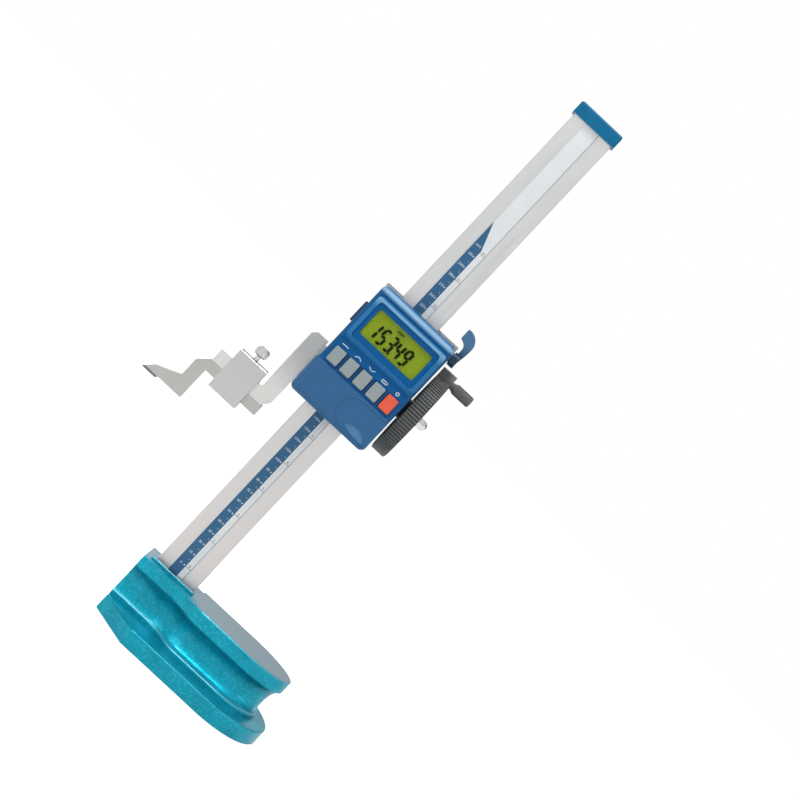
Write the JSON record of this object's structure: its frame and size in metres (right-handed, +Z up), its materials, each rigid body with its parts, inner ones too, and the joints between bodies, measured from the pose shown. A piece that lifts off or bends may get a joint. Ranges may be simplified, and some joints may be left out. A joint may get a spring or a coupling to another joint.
{
  "type": "height gauge",
  "caption": "Digital height gauge: coved cast base, upright scale column, slider with display, crank wheel on a rack, and a carbide scriber.",
  "frame": {"origin": "on the lapped underside of the base, under the middle of the column's width and of the base's depth", "axes": "+X to the right of the display, along the long end of the base; +Y away from the person who reads the display; +Z up the column"},
  "size_m": [0.2404, 0.108, 0.4925],
  "materials": {
    "teal_paint": "hammered metal-flake enamel over a ground top",
    "column_steel": "satin, ground lengthwise",
    "scale_film": "printed scale film",
    "housing_blue": "fine moulded texture",
    "lever_blue": "smooth blue coating",
    "satin_steel": "fine ground satin",
    "gear_steel": "machined, oiled",
    "black_plastic": "ribbed moulding",
    "backplate_alloy": "anodised",
    "bright_steel": "polished",
    "screw_steel": "blackened",
    "bush_brass": "turned",
    "button_grey": "soft moulded",
    "button_red": "soft moulded",
    "lcd_green": "reflective display",
    "clear_window": "clear cover",
    "board_green": "solder resist",
    "switch_black": "moulded",
    "cell_steel": "nickel plated can",
    "carbide": "ground hard metal"
  },
  "bodies": {
    "stand": {"base_casting": "teal_paint", "column_clamp_plate": "teal_paint", "column_screws": "screw_steel", "column": "column_steel", "scale_strip": "scale_film", "rack": "gear_steel", "rack_screws": "screw_steel", "top_cap": "housing_blue"},
    "slider": {"slider_frame": "satin_steel", "gib_strip": "bush_brass", "gib_screws": "screw_steel", "shaft_bushes": "bush_brass", "display_housing": "housing_blue", "display_backplate": "backplate_alloy", "read_head": "board_green", "housing_screws": "screw_steel", "lcd_module": "lcd_green", "lcd_window": "clear_window", "circuit_board": "board_green", "dome_switches": "switch_black", "data_connector": "switch_black", "battery": "cell_steel", "battery_contact": "bush_brass", "measuring_jaw": "satin_steel", "jaw_screws": "screw_steel"},
    "crank": {"pinion_shaft": "gear_steel", "shaft_end_screw": "screw_steel", "drive_pinion": "gear_steel", "pinion_pin": "gear_steel", "crank_wheel": "black_plastic", "wheel_washer": "bright_steel", "wheel_nut": "bright_steel", "handle_pin": "screw_steel"},
    "grip": {"crank_grip": "black_plastic"},
    "lock": {"lock_lever": "lever_blue", "lock_screw": "screw_steel"},
    "clamp": {"scriber_clamp": "satin_steel"},
    "thumb_screw": {"thumb_screw": "bright_steel"},
    "scriber": {"scriber": "satin_steel", "carbide_tip": "carbide"},
    "battery_door": {"battery_door": "housing_blue"},
    "port_cover": {"port_cover": "housing_blue"},
    "button_1": {"button_1": "button_grey"},
    "button_2": {"button_2": "button_grey"},
    "button_3": {"button_3": "button_grey"},
    "button_4": {"button_4": "button_grey"},
    "button_5": {"button_5": "button_red"}
  },
  "joints": [
    {"name": "slider_travel", "type": "slide", "parent": "stand", "child": "slider", "axis": [0, 0, 1], "range_m": [-0.142, 0.156]},
    {"name": "crank_turn", "type": "hinge", "parent": "slider", "child": "crank", "pos_m": [0.045, 0.023, 0.245], "axis": [1, 0, 0], "range_deg": [-1150, 1260]},
    {"name": "grip_spin", "type": "hinge", "parent": "crank", "child": "grip", "pos_m": [0.06, 0.023, 0.2804], "axis": [1, 0, 0], "continuous": true},
    {"name": "lock_turn", "type": "hinge", "parent": "slider", "child": "lock", "pos_m": [0.04, 0.0084, 0.2954], "axis": [1, 0, 0], "range_deg": [-35, 35]},
    {"name": "clamp_slide", "type": "slide", "parent": "slider", "child": "clamp", "axis": [1, 0, 0], "range_m": [-0.003, 0.003]},
    {"name": "thumb_screw_turn", "type": "hinge", "parent": "clamp", "child": "thumb_screw", "pos_m": [-0.06255, -0.001, 0.2], "axis": [0, 0, 1], "range_deg": [0, 720]},
    {"name": "scriber_slide", "type": "slide", "parent": "slider", "child": "scriber", "axis": [1, 0, 0], "range_m": [-0.012, 0.004]},
    {"name": "battery_door_slide", "type": "slide", "parent": "slider", "child": "battery_door", "axis": [1, 0, 0], "range_m": [0, 0.036]},
    {"name": "port_cover_pull", "type": "slide", "parent": "slider", "child": "port_cover", "axis": [-1, 0, 0], "range_m": [0, 0.008]},
    {"name": "button_1_press", "type": "slide", "parent": "slider", "child": "button_1", "axis": [0, 1, 0], "range_m": [0, 0.0008], "stiffness_N_per_m": 600},
    {"name": "button_2_press", "type": "slide", "parent": "slider", "child": "button_2", "axis": [0, 1, 0], "range_m": [0, 0.0008], "stiffness_N_per_m": 600},
    {"name": "button_3_press", "type": "slide", "parent": "slider", "child": "button_3", "axis": [0, 1, 0], "range_m": [0, 0.0008], "stiffness_N_per_m": 600},
    {"name": "button_4_press", "type": "slide", "parent": "slider", "child": "button_4", "axis": [0, 1, 0], "range_m": [0, 0.0008], "stiffness_N_per_m": 600},
    {"name": "button_5_press", "type": "slide", "parent": "slider", "child": "button_5", "axis": [0, 1, 0], "range_m": [0, 0.0008], "stiffness_N_per_m": 600}
  ],
  "couplings": [
    {"joint": "crank_turn", "follows": "slider_travel", "rad_per_m": 138.89}
  ]
}
